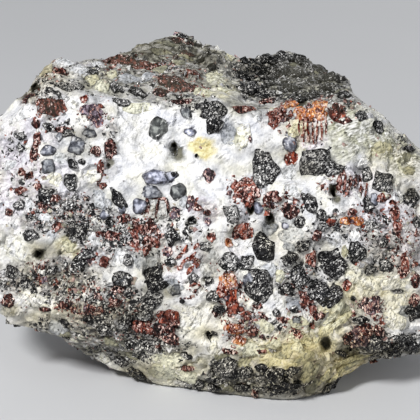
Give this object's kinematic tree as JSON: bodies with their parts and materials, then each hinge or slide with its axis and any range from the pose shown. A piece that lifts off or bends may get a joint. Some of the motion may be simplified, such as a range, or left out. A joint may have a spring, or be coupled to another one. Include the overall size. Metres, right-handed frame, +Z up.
{
  "type": "zincite with franklinite specimen",
  "caption": "Broken hand specimen of zinc ore: white calcite set with black franklinite crystals and red zincite, resting on its flat underside.",
  "frame": {"origin": "a point of the flat of the underside, under the middle of the stone's length, on the surface that the stone rests on", "axes": "+Z up; +X along the stone's length, to the right seen from the front; the broad front face looks towards -Y and leans back"},
  "size_m": [0.0828, 0.0461, 0.0539],
  "materials": {
    "calcite": "white to cream broken calcite, softly glossy on its cleavage faces",
    "franklinite": "black, submetallic, finely pitted and glittering",
    "zincite": "deep red to orange, adamantine, broken into small bright faces",
    "willemite": "pale yellow-green to buff, greasy and granular"
  },
  "bodies": {
    "root": {"zinc_ore_specimen": "calcite"}
  },
  "joints": []
}
